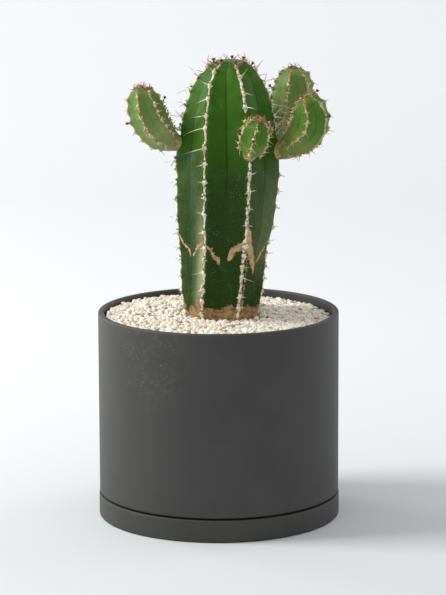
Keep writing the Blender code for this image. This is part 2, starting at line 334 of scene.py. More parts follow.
def skin_look(name, old, fresh, rim, valley_crease_shade, bark):
    """Waxy plant skin with painted valley shade. Fields: age, flank (0 crest to 1 valley), bloom (pale
    wax, and on the column painted highlight), scar and cork.
    """
    r = Recipe(name, roughness=0.45, specular=0.13)
    age, flank = r.field("age"), r.field("flank")
    cloud = r.noise(14 * MM, 4.0)
    fine = r.noise(1.6 * MM, 3.0)
    weathering = r.sum(age, r.times(r.sum(cloud, -0.5), 0.6))
    green = r.mix(r.between(weathering, 0.1, 0.95), fresh, old)
    green = r.mix(r.times(r.between(fine, 0.52, 0.78), 0.16), green, srgb(92, 124, 56))
    streak = r.noise(5 * MM, 3.0, stretch=(1.0, 1.0, 0.25))
    green = r.mix(r.times(r.between(streak, 0.5, 0.75), 0.30), green, srgb(34, 62, 22))
    scratch = r.noise(7 * MM, 4.0, 0.7, stretch=(1.5, 0.6, 0.5))
    green = r.mix(r.times(r.between(scratch, 0.58, 0.72), 0.22), green, srgb(104, 132, 70))
    green = r.mix(r.times(r.between(flank, 0.20, 0.02), 0.40), green, rim)
    # Painted shade: a dark line down the bottom of each valley, strongest towards the young top.
    painted_crease_shade = r.times(r.between(flank, 0.93, 1.0), r.between(age, 1.02, 0.55))
    green = r.mix(r.times(painted_crease_shade, 0.6), green, valley_crease_shade)
    # Pale wax mixed with painted highlight: on the column this paint lightens the flanks that face the
    # window.
    wax_and_lit_flank_share = r.times(r.field("bloom_and_lit_flank"), r.sum(0.25, r.times(r.noise(4 * MM, 4.0, 0.65), 1.4)))
    green = r.mix(wax_and_lit_flank_share, green, srgb(164, 172, 124))
    specks = r.times(r.between(r.dots(2.1 * MM), 0.20, 0.10), r.between(cloud, 0.45, 0.65))
    specks = r.times(specks, r.between(age, 0.25, 0.7))
    green = r.mix(r.times(specks, 0.65), green, srgb(162, 168, 118))
    ragged = r.times(r.sum(r.noise(2.6 * MM, 5.0, 0.75), -0.5), 9.0 * MM)
    scar = r.between(r.sum(r.field("scar"), r.times(ragged, 1.5)), 0.0, 0.5 * MM)
    cork = r.between(r.sum(r.field("cork"), r.times(ragged, 1.6)), 0.0, 0.7 * MM)
    tan = r.mix(r.between(r.noise(4 * MM, 3.0), 0.35, 0.7), srgb(208, 176, 130), srgb(172, 130, 92))
    brown = r.mix(r.between(r.noise(3 * MM, 4.0), 0.35, 0.65), *bark)
    green = r.mix(scar, green, tan)
    green = r.mix(cork, green, brown)
    r.colour(green)
    dull = r.sums("MAXIMUM", scar, cork)
    r.roughness(r.sum(r.sum(0.42, r.times(fine, 0.16)), r.times(dull, 0.4)))
    relief = r.sum(r.times(fine, 0.25), r.times(cloud, 0.3))
    relief = r.sum(relief, r.times(dull, r.sum(0.6, r.noise(0.9 * MM, 3.0))))
    r.bump(relief, 0.40 * MM)
    return r.material


def horn_look(name, pale, warm, tip):
    """Horny margins and spines. Fields: pit (dark eyes), reach (0 base to 1 tip) and young."""
    r = Recipe(name, roughness=0.40, specular=0.5)
    patches = r.noise(2.6 * MM, 4.0, 0.65)
    grain = r.noise(0.7 * MM, 3.0)
    colour = r.mix(r.between(patches, 0.44, 0.62), pale, warm)
    colour = r.mix(r.times(r.between(patches, 0.60, 0.74), 0.8), colour, srgb(120, 84, 54))
    colour = r.mix(r.times(r.between(grain, 0.5, 0.8), 0.35), colour, srgb(142, 108, 74))
    colour = r.mix(r.between(r.field("reach"), 0.30, 0.95), colour, tip)
    colour = r.mix(r.times(r.field("young"), 0.8), colour, srgb(172, 84, 62))
    colour = r.mix(r.field("pit"), colour, srgb(58, 36, 25))
    r.colour(colour)
    r.bump(r.sum(r.times(patches, 0.8), grain), 0.40 * MM)
    return r.material


def grit_look():
    r = Recipe("pale grit", roughness=0.85, specular=0.3)
    tone, warm = r.field("tone"), r.field("warm")
    colour = r.mix(tone, srgb(222, 212, 194), srgb(252, 249, 242))
    colour = r.mix(r.times(r.between(warm, 0.84, 0.97), 0.7), colour, srgb(230, 208, 168))
    # Brown for a few grains; on the bed under the grains it is painted shade, so the gaps between the
    # grains look dark.
    colour = r.mix(r.between(warm, 0.975, 0.985), colour, srgb(156, 128, 98))
    colour = r.mix(r.between(warm, 0.055, 0.05), colour, srgb(158, 150, 138))
    stain = r.noise(1.4 * MM, 4.0)
    colour = r.mix(r.times(r.between(stain, 0.5, 0.75), 0.25), colour, srgb(214, 192, 156))
    r.colour(colour)
    r.bump(r.noise(0.8 * MM, 4.0, 0.65), 0.25 * MM)
    return r.material


# Middle of a patch of fine scuffs on the pot, front left.
SCUFF_PLACE = (-0.056, -0.083, 0.143)


def ceramic_look(name, base):
    """Unglazed dark stoneware: cloudy, with fine pale specks and rubbed patches."""
    r = Recipe(name, roughness=0.6, specular=0.35)
    cloud = r.noise(45 * MM, 4.0)
    grain = r.noise(0.9 * MM, 4.0, 0.7)
    light = tuple(min(1.0, channel * 1.10) for channel in base[:3]) + (1.0,)
    dark = tuple(channel * 0.92 for channel in base[:3]) + (1.0,)
    colour = r.mix(r.between(cloud, 0.35, 0.68), dark, light)
    specks = r.between(r.dots(2.4 * MM), 0.13, 0.07)
    rubbed = r.between(r.noise(26 * MM, 3.0), 0.60, 0.74)
    colour = r.mix(r.times(r.sum(r.times(rubbed, 0.55), 0.08), specks), colour, srgb(120, 118, 112))
    scuffed = r.times(r.near(SCUFF_PLACE, 12 * MM, 48 * MM), r.between(r.noise(8 * MM), 0.42, 0.6))
    scratch = r.between(r.noise(1.1 * MM, 4.0, 0.7, stretch=(1.0, 1.0, 0.6)), 0.52, 0.66)
    colour = r.mix(r.times(r.times(scuffed, scratch), 0.5), colour, srgb(132, 130, 122))
    colour = r.mix(r.times(r.between(grain, 0.45, 0.8), 0.20), colour, srgb(84, 84, 82))
    r.colour(colour)
    r.roughness(r.sum(0.50, r.times(cloud, 0.18)))
    r.bump(r.sum(grain, r.times(r.noise(6 * MM), 0.8)), 0.06 * MM)
    return r.material


def soil_look():
    r = Recipe("potting mix", roughness=0.95, specular=0.2)
    r.colour(r.mix(r.noise(3 * MM, 5.0, 0.7), srgb(52, 38, 28), srgb(96, 72, 50)))
    r.bump(r.noise(2 * MM, 5.0, 0.7), 1.0 * MM)
    return r.material


LOOKS = {
    "stem": skin_look(
        "stem skin", srgb(36, 62, 12), srgb(55, 98, 16), srgb(96, 132, 46), srgb(14, 30, 6),
        (srgb(174, 144, 104), srgb(126, 98, 64))),
    "branch": skin_look(
        "branch skin", srgb(116, 140, 66), srgb(76, 118, 34), srgb(156, 176, 92),
        srgb(30, 56, 16), (srgb(206, 182, 134), srgb(160, 134, 86))),
    "stem_horn": horn_look(
        "stem horn", srgb(246, 240, 222), srgb(196, 166, 126), srgb(98, 78, 60)),
    "branch_horn": horn_look(
        "branch horn", srgb(230, 210, 164), srgb(188, 148, 100), srgb(158, 98, 72)),
    "grit": grit_look(),
    "pot": ceramic_look("pot ceramic", srgb(64, 63, 62)),
    "saucer": ceramic_look("saucer ceramic", srgb(62, 61, 59)),
    "soil": soil_look(),
}

# --- Pot, saucer and soil -----------------------------------------------------------------

CERAMIC_SIDES = 192
EDGE_ROUND = 1.8 * MM


def arc(radius, height, size, start, sweep=90, steps=8):
    """Arc in the (radius, height) plane about a centre, from one direction through a sweep."""
    turn = np.radians(start + sweep * np.arange(steps + 1) / steps)
    return [(radius + size * math.cos(t), height + size * math.sin(t)) for t in turn]


def lathe(name, outline, endless=False):
    """Turn a closed half-section, or one that ends near the axis, into a mesh."""
    turn = 2 * math.pi * np.arange(CERAMIC_SIDES) / CERAMIC_SIDES
    outline = np.array(outline)
    rings = np.empty((len(outline), CERAMIC_SIDES, 3))
    rings[..., 0] = outline[:, :1] * np.cos(turn)
    rings[..., 1] = outline[:, :1] * np.sin(turn)
    rings[..., 2] = outline[:, 1:]
    return skin(name, rings, endless)


def spread_out(outline, longest=6 * MM):
    """Add points along an outline's long straight runs."""
    result = []
    for here, beyond in zip(outline, outline[1:]):
        gap = math.dist(here, beyond)
        count = max(1, math.ceil(gap / longest))
        for step in range(count):
            t = step / count
            result.append((here[0] + (beyond[0] - here[0]) * t, here[1] + (beyond[1] - here[1]) * t))
    result.append(outline[-1])
    return result


def make_saucer():
    low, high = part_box("saucer")
    outer, top = high.x, high.z
    wall, floor = 5 * MM, 4 * MM
    lip = 1.1 * MM
    outline = [(0.5 * MM, low.z)]
    outline += arc(outer - EDGE_ROUND, low.z + EDGE_ROUND, EDGE_ROUND, -90)
    outline += arc(outer - lip, top - lip, lip, 0)
    outline += arc(outer - wall + lip, top - lip, lip, 90)
    outline += [(outer - wall, floor + EDGE_ROUND), (outer - wall - EDGE_ROUND, floor)]
    outline += [(0.5 * MM, floor)]
    piece = lathe("saucer_body", spread_out(outline))
    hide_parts("saucer")
    dress(piece, LOOKS["saucer"])


def make_pot():
    low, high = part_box("pot")
    saucer_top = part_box("saucer")[1].z
    outer, rim, base = high.x, high.z, low.z
    wall = 5 * MM
    foot = outer - 5.7 * MM
    shoulder = saucer_top + 1.2 * MM
    lip = wall / 2
    drain = 9 * MM
    outline = [(drain, base), (foot - EDGE_ROUND, base), (foot, base + EDGE_ROUND)]
    outline += [(foot, shoulder)]
    outline += arc(outer - EDGE_ROUND, shoulder + EDGE_ROUND, EDGE_ROUND, -90)
    outline += arc(outer - 1.6 * MM, rim - 1.6 * MM, 1.6 * MM, 0)
    outline += arc(outer - wall + 1.6 * MM, rim - 1.6 * MM, 1.6 * MM, 90)
    outline += [(outer - wall, shoulder + wall), (foot - wall, shoulder - wall)]
    outline += [(foot - wall, base + wall), (drain, base + wall), (drain, base)]
    piece = lathe("pot_body", spread_out(outline)[:-1], endless=True)
    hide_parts("pot")
    dress(piece, LOOKS["pot"])


def dress_soil():
    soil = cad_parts["soil"]
    soil.data.materials.clear()
    soil.data.materials.append(LOOKS["soil"])


# --- Ribbed bodies: the column and the branches -------------------------------------------
#
# A ribbed body is a dict: rings (rows, columns, 3), middle (rows, 3), run (the distance along
# its crests, in metres), the number of ribs, and for each rib the run of its areoles, which
# are the places that carry a spine pair.

FLANK_BULGE = 0.045
CREST_ROUND = 0.12
VALLEY_ROUND = 0.45


def rib_section(side, rib_count, valley):
    """(radius, turn) of a cross-section of crest radius 1, from a crest (0) to a valley (1).

    turn is a share of the angle between a crest and the next valley.
    """
    half_step = math.pi / rib_count
    bottom = np.array([valley * math.cos(half_step), valley * math.sin(half_step)])
    flank = bottom - np.array([1.0, 0.0])
    soft = np.sqrt(side ** 2 + CREST_ROUND ** 2) / math.sqrt(1 + CREST_ROUND ** 2)
    soft = soft * (1 - VALLEY_ROUND) + np.sin(soft * math.pi / 2) * VALLEY_ROUND
    swell = FLANK_BULGE * 4 * side * (1 - side)
    ahead = 1 + flank[0] * soft + flank[1] * swell
    aside = flank[1] * side - flank[0] * swell
    return np.hypot(ahead, aside), np.arctan2(aside, ahead) / half_step


def nearest_gap(run, stops):
    """Signed distance from each run to the nearest stop."""
    gaps = np.subtract.outer(run, np.asarray(stops))
    nearest = np.abs(gaps).argmin(-1)
    return np.take_along_axis(gaps, nearest[..., None], -1)[..., 0]


def column_shares(rib_count, per_rib):
    """Rib number and side (0 crest, 1 valley) of every column of a ribbed body's rings."""
    column = np.arange(rib_count * per_rib)
    share = (column % per_rib) / per_rib
    return column // per_rib, share, 1 - np.abs(1 - 2 * share)


STEM_RIBS = 7
STEM_PER_RIB = 36
STEM_VALLEY = 0.77
FIRST_RIB = -28.0
STEM_FOOT = 0.150
STEM_TOP = 0.3826
# Crest radius and height of the column.
STEM_OUTLINE = [
    (0.0322, STEM_FOOT), (0.0322, 0.172), (0.0350, 0.192), (0.0366, 0.216), (0.0376, 0.229),
    (0.0402, 0.240), (0.0420, 0.254), (0.0443, 0.282), (0.0447, 0.306), (0.0418, 0.322),
    (0.0393, 0.3335), (0.0355, 0.350), (0.0300, 0.363), (0.0215, 0.374), (0.0110, 0.3808),
    (0.0004, STEM_TOP - 0.0012),
]
# Share of the full depth that the valleys have, by height.
RIB_DEPTH = [(0.170, 0.62), (0.240, 0.75), (0.310, 1.0)]
# The valleys at the left and right of the front face are shallower than that.
SIDE_VALLEYS = 0.62
STEM_LEAN = [(0.190, 0.0033), (0.285, 0.0088), (STEM_TOP, 0.0104)]
# How far each front rib turns from its even place, in degrees, by height.
RIB_TURN = {
    0: [(0.175, -5.0), (0.196, 0.0), (0.244, 1.2), (0.300, 0.5), (0.335, -2.8), (0.375, -8.0)],
    1: [(0.170, 0.0), (0.200, 2.8), (0.240, 1.5), (0.270, 0.0), (0.345, -1.8), (0.381, -6.0)],
}
# Heights of the spine pairs on the ribs that show from the front, in millimetres.
AREOLE_HEIGHTS = {
    0: [175, 186, 196, 210, 221, 231, 244, 260, 273, 286, 301, 314, 330, 340, 353, 364, 374],
    1: [181, 190, 206, 215, 224, 232, 251, 265, 279, 293, 347, 358, 370, 379],
    2: [178, 190, 202, 212, 222, 232, 245, 261, 274, 288, 328, 336, 346, 356, 364, 374, 380],
    6: [178, 191, 205, 217, 228, 240, 252, 268, 281, 294, 300, 327, 336, 347, 358, 369, 377],
}
# Distance between spine pairs elsewhere, by height.
AREOLE_SPACING = [(0.170, 0.0115), (0.215, 0.0120), (0.250, 0.0140), (0.300, 0.0145),
                  (0.335, 0.0120), (0.380, 0.0100)]
SCAR_CREST = 0.2365          # height of the growth scar where it meets a crest
SCAR_DROP = 0.0195           # how far it dips to a valley
CORK_TOP = 0.1800            # ragged upper edge of the corky foot, half way to a valley


def stem_areoles(rib, height_of_run, run_of_height):
    if rib in AREOLE_HEIGHTS:
        return [float(run_of_height(height * MM)) for height in AREOLE_HEIGHTS[rib]]
    draw = np.random.default_rng(500 + rib)
    run = float(run_of_height(0.172)) + draw.uniform(0.0, 8 * MM)
    stops = []
    while height_of_run(run) < 0.3795:
        stops.append(run)
        run += read_table(AREOLE_SPACING, height_of_run(run)) * draw.uniform(0.88, 1.12)
    return stops


def ribbed_stem():
    outline = evenly(catmull(STEM_OUTLINE), 0.9 * MM)
    radius, height = outline[:, 0], outline[:, 1]
    run = lengths_along(outline)
    middle = np.stack([read_table(STEM_LEAN, height), np.zeros_like(height), height], 1)
    rib, share, side = column_shares(STEM_RIBS, STEM_PER_RIB)
    areoles = [
        stem_areoles(k, lambda r: np.interp(r, run, height), lambda z: np.interp(z, height, run))
        for k in range(STEM_RIBS)
    ]
    step = 360 / STEM_RIBS
    headings = np.empty((STEM_RIBS + 1, len(run)))
    scales = np.empty((STEM_RIBS + 1, len(run)))
    for k in range(STEM_RIBS):
        even = FIRST_RIB + k * step
        wander = 1.3 * np.sin(height / 0.028 + 2.1 * k)
        wander = read_table(RIB_TURN[k], height) if k in RIB_TURN else wander
        headings[k] = even + wander
        scales[k] = 1 + 0.010 * np.sin(height / 0.021 + 1.7 * k)
    headings[-1] = headings[0] + 360
    scales[-1] = scales[0]
    reach, turn = rib_section(side, STEM_RIBS, STEM_VALLEY)
    blend = np.where(share <= 0.5, turn / 2, 1 - turn / 2)
    first, second = headings[rib].T, headings[rib + 1].T
    heading = first + (second - first) * blend
    scale = scales[rib].T * (1 - blend) + scales[rib + 1].T * blend
    crown = smooth_step(0.008, 0.030, radius)[:, None]
    shallow = np.where((rib == 1) | (rib == 6), SIDE_VALLEYS, 1.0)
    depth = read_table(RIB_DEPTH, height)[:, None] * shallow
    fold = 1 - (1 - reach) * (0.35 + 0.65 * crown) * depth
    distance = radius[:, None] * fold * scale
    rings = middle[:, None] + compass(heading) * distance[..., None]
    outward = unit(rings - middle[:, None] + np.array([0, 0, 1e-6]))
    # Tubercles: each areole stands on a small swelling of its rib's crest.
    crest_distance = side * radius[:, None] * 0.45
    on_crest = np.exp(-(crest_distance / (3.2 * MM)) ** 2)
    owner = np.where(share <= 0.5, rib, (rib + 1) % STEM_RIBS)
    bump = np.zeros_like(distance)
    for k in range(STEM_RIBS):
        gap = nearest_gap(run, areoles[k])
        swelling = np.exp(-(gap / (3.4 * MM)) ** 2) - 0.35
        size = read_table([(0.17, 0.5), (0.30, 0.8), (0.34, 1.5), (0.38, 1.3)], height) * MM
        bump[:, owner == k] = (swelling * size)[:, None]
    rings += outward * (bump * on_crest)[..., None]
    rings += outward * (ripple(rings, 16 * MM, 3) * 0.45 * MM)[..., None]
    rings += outward * (ripple(rings, 5 * MM, 4) * 0.10 * MM)[..., None]
    fields = stem_fields(rings, height, side, rib, share, crest_distance)
    return {"rings": rings, "middle": middle, "run": run, "ribs": STEM_RIBS,
            "per_rib": STEM_PER_RIB, "areoles": areoles, "fields": fields, "height": height}


def stem_fields(rings, height, side, rib, share, crest_distance):
    """Values that colour the column: its age, its wax with painted highlight on the flanks that face the
    window, growth scar, and corky foot.
    """
    level = height[:, None] + 0 * side
    age = 1 - smooth_step(0.235, 0.375, level)
    wobble = ripple(rings, 10 * MM, 11)
    centre_face = rib == 0
    right_face = (rib == 1) & (share < 0.5)
    left_face = (rib == 6) & (share > 0.5)
    # The growth scar runs down each flank in a V, thick in places and missing in others.
    line = SCAR_CREST - SCAR_DROP * side ** 0.85
    line = np.where(rib == 6, SCAR_CREST + 4 * MM - SCAR_DROP * side, line)
    line = np.where(right_face, SCAR_CREST + 7 * MM - 1.7 * SCAR_DROP * side, line)
    line = line + wobble * 2.0 * MM
    uneven = ripple(rings * np.array([1.0, 1.0, 0.3]), 9 * MM, 12)
    thickness = (2.1 + 0.9 * uneven) * MM
    thickness = np.where(centre_face, (2.2 + 1.9 * side + 1.3 * uneven) * MM, thickness)
    thickness = np.where(right_face, (9.0 - 1.5 * side + 1.5 * uneven) * MM, thickness)
    thickness = np.where(rib == 6, (1.7 + 0.7 * uneven) * MM, thickness)
    open_gap = (centre_face & (side > 0.80)) | ((side > 0.93) & (rib != 1))
    thickness = np.where(open_gap, -2 * MM, thickness)
    scar = thickness - np.abs(level - line)
    # A narrow scratch runs down from the scar beside the second rib.
    scratch = 0.7 * MM - np.abs(crest_distance - 4.2 * MM - wobble * 0.8 * MM)
    scratch = np.where(right_face & (level > 0.181) & (level < 0.222), scratch, -1.0)
    scar = np.maximum(scar, scratch)
    # Bark climbs highest beside the crests of the left and right faces.
    lobes = ripple(rings * np.array([1.0, 1.0, 0.4]), 9 * MM, 13) * 3.0 * MM
    dip = np.cos(side * math.pi) * 2.0 * MM
    streaks = np.exp(-((crest_distance - 3.0 * MM) / (2.0 * MM)) ** 2) * 8.0 * MM
    streaks = np.where(right_face | left_face, streaks, 0.0)
    cork = CORK_TOP + dip + lobes + streaks - level
    # Pale wax beside the first rib low down and over the right face; it is also painted highlight,
    # lightening the flanks that face the window, most of all the flank that rises to the third rib.
    beside_rib = 1.0 * np.exp(-(crest_distance / (8 * MM)) ** 2) * smooth_step(0.290, 0.215, level)
    over_face = 0.22 * smooth_step(0.31, 0.25, level) * smooth_step(0.19, 0.23, level)
    over_face = np.where((rib == 1) & (share > 0.5), over_face, 0.3 * over_face)
    bloom_and_lit_flank = np.where(left_face, beside_rib, 0.0) + np.where(rib == 1, over_face, 0.0)
    return {"age": age, "flank": np.broadcast_to(side, level.shape), "scar": scar,
            "cork": cork, "bloom_and_lit_flank": bloom_and_lit_flank}


def make_stem():
    body = ribbed_stem()
    piece = skin("stem_column", body["rings"], fields=body["fields"])
    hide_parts("main_stem")
    dress(piece, LOOKS["stem"])
    return body


# --- Branches -----------------------------------------------------------------------------

BRANCH_RIBS = 6
BRANCH_PER_RIB = 18
BRANCH_VALLEY = 0.80
NECK_STANDOFF = 2.4 * MM
# The same facts that shape the CAD branches: rib and height of the neck, apex, greatest
# radius, sideways bow of the middle line, and the turn of the first rib.
BRANCHES = {
    "branch_left": (6, 0.3143, (-0.0624, -0.0170, 0.3627), 0.0157, (-0.0049, -0.0010, -0.0075), 10),
    "branch_front": (1, 0.3110, (0.0333, -0.0660, 0.3417), 0.0132, (0.0000, -0.0040, -0.0011), 25),
    "branch_right_front": (2, 0.3090, (0.0700, -0.0270, 0.3545), 0.0175,
                           (0.0124, -0.0020, -0.0039), 20),
    "branch_right_rear": (3, 0.3095, (0.0621, 0.0410, 0.3706), 0.0193,
                          (0.0062, 0.0060, -0.0050), 15),
}
# How washed-out each branch's skin is.
PALENESS = {"branch_left": 0.50, "branch_front": 0.0, "branch_right_front": 0.12,
            "branch_right_rear": 0.50}
# Share of a branch's length and of its greatest radius, from inside the stem to its crown.
BRANCH_OUTLINE = [
    (-0.14, 0.40), (-0.06, 0.42), (0.00, 0.48), (0.06, 0.57), (0.14, 0.69), (0.26, 0.84),
    (0.40, 0.95), (0.55, 1.00), (0.70, 0.98), (0.82, 0.89), (0.91, 0.71), (0.96, 0.49),
    (0.988, 0.22), (0.996, 0.02),
]


def ribbed_branch(name, stem, seed):
    rib_on_stem, neck, apex, greatest, bow, first_turn = BRANCHES[name]
    outward = compass(FIRST_RIB + rib_on_stem * 360 / STEM_RIBS)
    crest = stem["rings"][:, rib_on_stem * STEM_PER_RIB]
    base = np.array([np.interp(neck, crest[:, 2], crest[:, i]) for i in range(3)])
    base = base + outward * NECK_STANDOFF
    apex, bow = np.array(apex), np.array(bow)

    def middle_at(share):
        share = np.asarray(share)[..., None]
        return base + (apex - base) * share + bow * 4 * share * (1 - share)

    outline = evenly(catmull(BRANCH_OUTLINE) * [np.linalg.norm(apex - base), greatest], 0.7 * MM)
    share = outline[:, 0] / np.linalg.norm(apex - base)
    radius = outline[:, 1]
    middle = middle_at(share)
    along = unit(middle_at(share + 0.01) - middle_at(share - 0.01))
    across = unit(np.cross([0.0, 1.0, 0.0], along))
    front = np.cross(along, across)
    rib, part, side = column_shares(BRANCH_RIBS, BRANCH_PER_RIB)
    reach, turn = rib_section(side, BRANCH_RIBS, BRANCH_VALLEY)
    blend = np.where(part <= 0.5, turn / 2, 1 - turn / 2)
    heading = np.radians(first_turn + (rib + blend) * 360 / BRANCH_RIBS)
    ribbing = smooth_step(0.00, 0.16, share)[:, None] * (0.4 + 0.6 * smooth_step(1.0, 0.9, share))[:, None]
    distance = radius[:, None] * (1 - (1 - reach) * ribbing)
    spoke = (across[:, None] * np.cos(heading)[:, None] + front[:, None] * np.sin(heading)[:, None])
    rings = middle[:, None] + spoke * distance[..., None]
    run = lengths_along(outline)
    draw = np.random.default_rng(seed)
    owner = np.where(part <= 0.5, rib, (rib + 1) % BRANCH_RIBS)
    on_crest = np.exp(-(side * radius[:, None] * 0.5 / (2.2 * MM)) ** 2)
    areoles = []
    bump = np.zeros_like(distance)
    for k in range(BRANCH_RIBS):
        stop = float(np.interp(0.10, share, run)) + draw.uniform(0.0, 5 * MM)
        last = float(np.interp(0.965, share, run))
        stops = []
        while stop < last:
            stops.append(stop)
            stop += draw.uniform(6.4, 8.6) * MM
        areoles.append(stops)
        gap = nearest_gap(run, stops)
        swelling = (np.exp(-(gap / (2.2 * MM)) ** 2) - 0.35) * 1.1 * MM
        bump[:, owner == k] = (swelling * smooth_step(0.02, 0.15, share))[:, None]
    rings += spoke * (bump * on_crest)[..., None]
    rings += spoke * (ripple(rings, 9 * MM, seed + 50) * 0.35 * MM)[..., None]
    level = share[:, None] + 0 * side
    cork = (0.05 - level) * np.linalg.norm(apex - base)
    cork += ripple(rings, 8 * MM, seed + 70) * 2.5 * MM
    fields = {
        "age": 1 - smooth_step(0.1, 0.8, level),
        "bloom_and_lit_flank": PALENESS[name] * (1 - 0.6 * smooth_step(0.2, 0.9, level)) + 0 * side,
        "flank": np.broadcast_to(side, level.shape),
        "scar": np.full(level.shape, -5 * MM),
        "cork": cork,
    }
    return {"rings": rings, "middle": np.broadcast_to(middle_at(0.5), middle.shape), "run": run,
            "ribs": BRANCH_RIBS, "per_rib": BRANCH_PER_RIB, "areoles": areoles,
            "fields": fields, "share": share}


def make_branches(stem):
    bodies = {}
    for number, name in enumerate(BRANCHES):
        body = ribbed_branch(name, stem, 20 + number)
        piece = skin(f"{name}_body", body["rings"], fields=body["fields"])
        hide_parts(name)
        dress(piece, LOOKS["branch"])
        bodies[name] = body
    return bodies


# --- Horny margins and spines -------------------------------------------------------------


def crest_line(body, rib, start, end, step):
    """Points, tangents, outward and rightward directions along a rib, by run."""
    crest = body["rings"][:, rib * body["per_rib"]]
    runs = np.arange(start, end, step)
    points = np.stack([np.interp(runs, body["run"], crest[:, i]) for i in range(3)], 1)
    middle = np.stack([np.interp(runs, body["run"], body["middle"][:, i]) for i in range(3)], 1)
    along = unit(np.gradient(points, axis=0))
    away = points - middle + np.array([0, 0, 1e-5])
    outward = unit(away - along * (away * along).sum(1, keepdims=True))
    return runs, points, along, outward, np.cross(along, outward)


def spine(base, direction, sag, length, thickness, young=0.0, curl=0.0, dark=0.0):
    """Tapered thorn, slightly bent by sag; curl winds it about instead."""
    sides, rows = 8, 10 if curl == 0 else 22
    t = np.linspace(0.0, 1.0, rows)
    line = base + direction * (t * length)[:, None] + sag * (t ** 2 * length)[:, None]
    side = unit(np.cross(direction, [0.31, 0.22, 0.92]))
    wind = np.sin(t * 7.0) * t * curl * length
    lift = (1 - np.cos(t * 7.0)) * t * curl * length * 0.6
    line = line + side * wind[:, None] + np.cross(side, direction) * lift[:, None]
    along = unit(np.gradient(line, axis=0))
    across = unit(np.cross(along, [0.31, 0.22, 0.92]))
    front = np.cross(along, across)
    radius = thickness * (0.10 + 0.90 * (1 - t) ** 0.75) * (1 + 0.6 * np.exp(-(t / 0.08) ** 2))
    turn = 2 * math.pi * np.arange(sides) / sides
    spoke = across[:, None] * np.cos(turn)[:, None] + front[:, None] * np.sin(turn)[:, None]
    points = line[:, None] + spoke * radius[:, None, None]
    count = rows * sides
    fields = {"reach": np.repeat(t, sides), "pit": np.full(count, dark),
              "young": np.full(count, young)}
    return points.reshape(-1, 3), tube_faces(rows, sides), fields


def knob(middle, along, size, dark, seed):
    """Small lumpy bead."""
    rows, sides = 9, 10
    turn = 2 * math.pi * np.arange(sides) / sides
    polar = np.linspace(0.06, math.pi - 0.06, rows)
    across = unit(np.cross(along, [0.31, 0.22, 0.92]))
    front = np.cross(along, across)
    ring = across[:, None] * np.cos(turn) + front[:, None] * np.sin(turn)
    ball = (ring.T[None] * np.sin(polar)[:, None, None]
            + along[None, None] * np.cos(polar)[:, None, None])
    ball = ball * (1 + 0.25 * ripple(ball, 0.9, seed))[..., None]
    count = rows * sides
    fields = {"reach": np.zeros(count), "pit": np.full(count, dark), "young": np.zeros(count)}
    return (middle + ball * size).reshape(-1, 3), tube_faces(rows, sides), fields


STRIP_SECTION = [(-1.0, -0.9), (-0.92, 0.15), (-0.5, 0.8), (0.0, 1.0), (0.5, 0.8), (0.92, 0.15),
                 (1.0, -0.9), (0.0, -1.0)]


def horny_strip(body, rib, start, end, stops, narrow, wide, thick, young, seed):
    """The ribbon of horn along a crest, wide and raised at each spine pair."""
    runs, points, along, outward, aside = crest_line(body, rib, start, end, 0.5 * MM)
    gap = nearest_gap(runs, stops)
    shield = np.exp(-((gap + 0.3 * MM) / (2.0 * MM)) ** 2)
    eye = np.exp(-((gap - 2.6 * MM) / (0.75 * MM)) ** 2)
    points = points + aside * (ripple(points, 6 * MM, seed + 3) * 0.35 * MM)[:, None]
    rows = len(runs)
    section = np.array(STRIP_SECTION)
    rings = np.empty((rows, len(section), 3))
    for column, (across, up) in enumerate(section):
        edge = 1 + 0.45 * ripple(points + aside * across * 0.03, 2.6 * MM, seed + (across > 0))
        half = (narrow + (wide - narrow) * shield) * edge
        lift = (0.45 + 0.75 * shield - 0.45 * eye) * thick
        lift *= 1 + 0.45 * ripple(points + aside * across * 0.02, 1.8 * MM, seed + 5)
        rings[:, column] = points + aside * (half * across)[:, None] + outward * (lift * up)[:, None]
    taper = np.minimum(1.0, np.minimum(np.arange(rows), np.arange(rows)[::-1]) / 4)
    rings = points[:, None] + (rings - points[:, None]) * (0.15 + 0.85 * taper)[:, None, None]
    dark = np.repeat((eye > 0.35) * 0.9, len(section)).reshape(rows, -1)
    dark[:, [0, 1, 5, 6, 7]] = 0.0
    count = rows * len(section)
    fields = {"reach": np.zeros(count), "pit": dark.ravel(),
              "young": np.repeat(young(runs), len(section))}
    return rings.reshape(-1, 3), tube_faces(rows, len(section)), fields


def one_place(body, rib, run):
    """Point, tangent, outward and rightward direction at one run of a rib."""
    _, *lines = crest_line(body, rib, run - 0.6 * MM, run + 0.9 * MM, 0.5 * MM)
    return [line[1] for line in lines]


def spine_pair(body, rib, stop, thickness, draw, lengths, young=0.0):
    """Two thorns, left and right, that part sideways from a shield, with knobs beside them."""
    point, along, outward, aside = one_place(body, rib, stop)
    parts = []
    for way, length in zip((-1, 1), lengths):
        spread = draw.uniform(0.75, 1.25)
        droop = draw.uniform(-0.50, 0.40) + 0.5 * young
        heading = unit(outward * draw.uniform(0.45, 1.0) + aside * way * spread + along * droop)
        sag = (along * draw.uniform(-0.22, 0.22) + outward * draw.uniform(-0.15, 0.10))
        base = point + outward * 0.1 * MM + aside * way * 0.4 * MM
        parts.append(spine(base, heading, sag, length, thickness, young))
    for _ in range(int(draw.integers(1, 3))):
        place = point + aside * draw.uniform(-1.1, 1.1) * MM + along * draw.uniform(-1.6, 3.2) * MM
        size = draw.uniform(0.55, 1.0) * thickness * 2.2
        dark = 0.85 if draw.uniform() < 0.3 else 0.0
        parts.append(knob(place + outward * 0.4 * MM, along, size, dark, int(draw.integers(1 << 30))))
    return parts


# Spine length on the column by height.
SPINE_LENGTH = [(0.170, 0.0050), (0.240, 0.0062), (0.292, 0.0072), (0.306, 0.0105),
                (0.350, 0.0105), (0.370, 0.0095), (0.381, 0.0085)]
